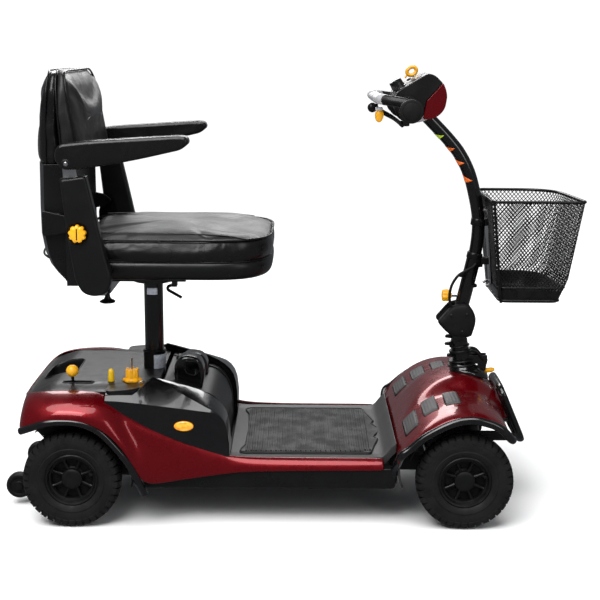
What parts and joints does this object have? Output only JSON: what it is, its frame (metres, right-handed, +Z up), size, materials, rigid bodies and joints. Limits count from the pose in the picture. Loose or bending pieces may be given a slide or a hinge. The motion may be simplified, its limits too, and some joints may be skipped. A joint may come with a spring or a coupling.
{
  "type": "mobility scooter",
  "caption": "Compact four-wheel mobility scooter with a swivel seat, folding backrest, flip-up armrests, steerable tilting tiller and a front wire basket.",
  "frame": {"origin": "on the ground, under the middle of the scooter's overall length and width", "axes": "+X forward along the direction of travel, +Y to the rider's left, +Z up"},
  "size_m": [1.308, 0.55, 1.0103],
  "materials": {
    "tyre": "moulded tread, matt",
    "rim_black": "satin black moulded rim",
    "tip_black": "matt black",
    "frame_steel": "black powder coat",
    "drive_grey": "cast housing",
    "deck_grey": "light grey moulded",
    "mat_rubber": "ribbed",
    "body_red": "candy burgundy red",
    "deck_satin": "dark grey satin",
    "trim_black": "grained black",
    "grip_grey": "ribbed grey",
    "bar_black": "gloss black",
    "boot_rubber": "matt black",
    "amber": "amber lens",
    "battery_grey": "grey case",
    "steel": "bright steel",
    "knob_yellow": "yellow",
    "dial_black": "black",
    "basket_wire": "black coated wire",
    "shell_plastic": "black moulded",
    "vinyl": "black upholstery vinyl"
  },
  "bodies": {
    "chassis": {"main_frame": "frame_steel", "transaxle": "drive_grey", "floor_pan": "deck_grey", "floor_mat": "mat_rubber", "rear_shroud": "body_red", "rear_deck_cover": "deck_satin", "battery_housing": "deck_satin", "lower_trims": "trim_black", "front_shroud": "body_red", "grip_patches": "grip_grey", "front_bumper": "bar_black", "tiller_boot": "boot_rubber", "reflectors": "amber"},
    "wheel_rear_right": {"tyre_rear_right": "tyre", "rim_rear_right": "rim_black"},
    "wheel_front_right": {"tyre_front_right": "tyre", "rim_front_right": "rim_black"},
    "anti_tip_right": {"anti_tip_wheel_right": "tip_black"},
    "knuckle_right": {"steering_knuckle_right": "steel"},
    "arm_bracket_right": {"arm_bracket_right": "dial_black"},
    "arm_knob_right": {"arm_knob_right": "knob_yellow"},
    "arm_post_right": {"arm_post_right": "steel"},
    "armrest_right": {"armrest_right": "vinyl"},
    "width_knob_right": {"width_knob_right": "dial_black"},
    "wheel_rear_left": {"tyre_rear_left": "tyre", "rim_rear_left": "rim_black"},
    "wheel_front_left": {"tyre_front_left": "tyre", "rim_front_left": "rim_black"},
    "anti_tip_left": {"anti_tip_wheel_left": "tip_black"},
    "knuckle_left": {"steering_knuckle_left": "steel"},
    "arm_bracket_left": {"arm_bracket_left": "dial_black"},
    "arm_knob_left": {"arm_knob_left": "knob_yellow"},
    "arm_post_left": {"arm_post_left": "steel"},
    "armrest_left": {"armrest_left": "vinyl"},
    "width_knob_left": {"width_knob_left": "dial_black"},
    "battery": {"battery_pack": "battery_grey"},
    "steering_column": {"steering_column": "bar_black"},
    "tie_rod": {"tie_rod": "steel"},
    "latch": {"tiller_latch": "bar_black"},
    "tiller": {"tiller_tube": "bar_black", "console_shell": "deck_satin", "console_nose": "body_red", "handlebar": "boot_rubber", "basket_bracket": "bar_black", "wiring_loop": "boot_rubber"},
    "tilt_knob": {"tilt_knob": "knob_yellow"},
    "speed_dial": {"speed_dial": "dial_black"},
    "ignition_key": {"ignition_key": "knob_yellow"},
    "throttle": {"throttle_lever": "knob_yellow"},
    "basket": {"basket": "basket_wire"},
    "freewheel_lever": {"freewheel_lever": "knob_yellow"},
    "reset_button": {"reset_button": "knob_yellow"},
    "section_lock_knob": {"section_lock_knob": "knob_yellow"},
    "seat_post": {"seat_post": "bar_black"},
    "seat": {"seat_frame": "bar_black", "seat_shell": "shell_plastic", "seat_cushion": "vinyl"},
    "swivel_lever": {"swivel_lever": "bar_black"},
    "backrest": {"back_shell": "shell_plastic", "back_cushion": "vinyl"}
  },
  "joints": [
    {"name": "wheel_rear_right", "type": "hinge", "parent": "chassis", "child": "wheel_rear_right", "pos_m": [-0.478, -0.226, 0.108], "axis": [0, 1, 0], "continuous": true},
    {"name": "anti_tip_right", "type": "hinge", "parent": "chassis", "child": "anti_tip_right", "pos_m": [-0.624, -0.11, 0.046], "axis": [0, 1, 0], "continuous": true},
    {"name": "wheel_rear_left", "type": "hinge", "parent": "chassis", "child": "wheel_rear_left", "pos_m": [-0.478, 0.226, 0.108], "axis": [0, 1, 0], "continuous": true},
    {"name": "anti_tip_left", "type": "hinge", "parent": "chassis", "child": "anti_tip_left", "pos_m": [-0.624, 0.11, 0.046], "axis": [0, 1, 0], "continuous": true},
    {"name": "steering", "type": "hinge", "parent": "chassis", "child": "steering_column", "pos_m": [0.4316, 0, 0.108], "axis": [-0.1392, 0, 0.9903], "range_deg": [-35, 35]},
    {"name": "knuckle_right", "type": "hinge", "parent": "chassis", "child": "knuckle_right", "pos_m": [0.386, -0.18, 0.108], "axis": [-0.1392, 0, 0.9903], "range_deg": [-35, 35]},
    {"name": "wheel_front_right", "type": "hinge", "parent": "knuckle_right", "child": "wheel_front_right", "pos_m": [0.386, -0.226, 0.108], "axis": [0, 1, 0], "continuous": true},
    {"name": "knuckle_left", "type": "hinge", "parent": "chassis", "child": "knuckle_left", "pos_m": [0.386, 0.18, 0.108], "axis": [-0.1392, 0, 0.9903], "range_deg": [-35, 35]},
    {"name": "wheel_front_left", "type": "hinge", "parent": "knuckle_left", "child": "wheel_front_left", "pos_m": [0.386, 0.226, 0.108], "axis": [0, 1, 0], "continuous": true},
    {"name": "tie_rod", "type": "hinge", "parent": "steering_column", "child": "tie_rod", "pos_m": [0.38089, 0, 0.07361], "axis": [-0.1392, 0, 0.9903], "range_deg": [-35, 35]},
    {"name": "tiller_latch", "type": "hinge", "parent": "steering_column", "child": "latch", "pos_m": [0.455, 0, 0.324], "axis": [0, -1, 0], "range_deg": [0, 40]},
    {"name": "tiller_tilt", "type": "hinge", "parent": "steering_column", "child": "tiller", "pos_m": [0.38901, 0, 0.41102], "axis": [0, 1, 0], "range_deg": [-22, 10]},
    {"name": "tilt_knob", "type": "hinge", "parent": "tiller", "child": "tilt_knob", "pos_m": [0.362, 0, 0.477], "axis": [1, 0, 0], "range_deg": [0, 270]},
    {"name": "throttle", "type": "hinge", "parent": "tiller", "child": "throttle", "pos_m": [0.254, 0, 0.868], "axis": [0, 0, 1], "range_deg": [-15, 15], "stiffness_Nm_per_rad": 0.4},
    {"name": "speed_dial", "type": "hinge", "parent": "tiller", "child": "speed_dial", "pos_m": [0.239, -0.03, 0.94958], "axis": [-0.4787, 0, 0.878], "range_deg": [0, 270]},
    {"name": "ignition_key", "type": "hinge", "parent": "tiller", "child": "ignition_key", "pos_m": [0.279, 0.022, 0.97248], "axis": [-0.4787, 0, 0.878], "range_deg": [0, 90]},
    {"name": "basket_lift", "type": "slide", "parent": "tiller", "child": "basket", "axis": [0, 0, 1], "range_m": [0, 0.12]},
    {"name": "battery_lift", "type": "slide", "parent": "chassis", "child": "battery", "axis": [0, 0, 1], "range_m": [0, 0.12]},
    {"name": "freewheel_lever", "type": "hinge", "parent": "chassis", "child": "freewheel_lever", "pos_m": [-0.486, -0.14, 0.232], "axis": [0, 1, 0], "range_deg": [0, 25]},
    {"name": "reset_button", "type": "slide", "parent": "chassis", "child": "reset_button", "axis": [0, 0, -1], "range_m": [0, 0.003], "stiffness_N_per_m": 400},
    {"name": "section_lock_knob", "type": "hinge", "parent": "chassis", "child": "section_lock_knob", "pos_m": [-0.356, -0.128, 0.3], "axis": [0, 0, 1], "range_deg": [0, 270]},
    {"name": "seat_height", "type": "slide", "parent": "chassis", "child": "seat_post", "axis": [0, 0, 1], "range_m": [-0.04, 0.04]},
    {"name": "seat_swivel", "type": "hinge", "parent": "seat_post", "child": "seat", "pos_m": [-0.32, 0, 0.515], "axis": [0, 0, 1], "continuous": true},
    {"name": "swivel_lever", "type": "hinge", "parent": "seat", "child": "swivel_lever", "pos_m": [-0.266, -0.043, 0.508], "axis": [0, -1, 0], "range_deg": [0, 20], "stiffness_Nm_per_rad": 0.05, "springref_deg": -28.65},
    {"name": "back_fold", "type": "hinge", "parent": "seat", "child": "backrest", "pos_m": [-0.455, 0, 0.668], "axis": [0, 1, 0], "range_deg": [0, 80]},
    {"name": "arm_width_right", "type": "slide", "parent": "seat", "child": "arm_bracket_right", "axis": [0, -1, 0], "range_m": [0, 0.04]},
    {"name": "width_knob_right", "type": "hinge", "parent": "seat", "child": "width_knob_right", "pos_m": [-0.403, -0.15, 0.49], "axis": [0, 0, 1], "range_deg": [0, 270]},
    {"name": "arm_knob_right", "type": "hinge", "parent": "arm_bracket_right", "child": "arm_knob_right", "pos_m": [-0.444, -0.26, 0.657], "axis": [0, 1, 0], "range_deg": [0, 270]},
    {"name": "arm_height_right", "type": "slide", "parent": "arm_bracket_right", "child": "arm_post_right", "axis": [-0.1616, 0, 0.9869], "range_m": [0, 0.05]},
    {"name": "armrest_flip_right", "type": "hinge", "parent": "arm_post_right", "child": "armrest_right", "pos_m": [-0.463, -0.246, 0.802], "axis": [0, -1, 0], "range_deg": [0, 95]},
    {"name": "arm_width_left", "type": "slide", "parent": "seat", "child": "arm_bracket_left", "axis": [0, 1, 0], "range_m": [0, 0.04]},
    {"name": "width_knob_left", "type": "hinge", "parent": "seat", "child": "width_knob_left", "pos_m": [-0.403, 0.15, 0.49], "axis": [0, 0, 1], "range_deg": [0, 270]},
    {"name": "arm_knob_left", "type": "hinge", "parent": "arm_bracket_left", "child": "arm_knob_left", "pos_m": [-0.444, 0.26, 0.657], "axis": [0, 1, 0], "range_deg": [0, 270]},
    {"name": "arm_height_left", "type": "slide", "parent": "arm_bracket_left", "child": "arm_post_left", "axis": [-0.1616, 0, 0.9869], "range_m": [0, 0.05]},
    {"name": "armrest_flip_left", "type": "hinge", "parent": "arm_post_left", "child": "armrest_left", "pos_m": [-0.463, 0.246, 0.802], "axis": [0, -1, 0], "range_deg": [0, 95]}
  ],
  "couplings": [
    {"joint": "knuckle_right", "follows": "steering", "ratio": 1},
    {"joint": "knuckle_left", "follows": "steering", "ratio": 1},
    {"joint": "tie_rod", "follows": "steering", "ratio": -1}
  ]
}
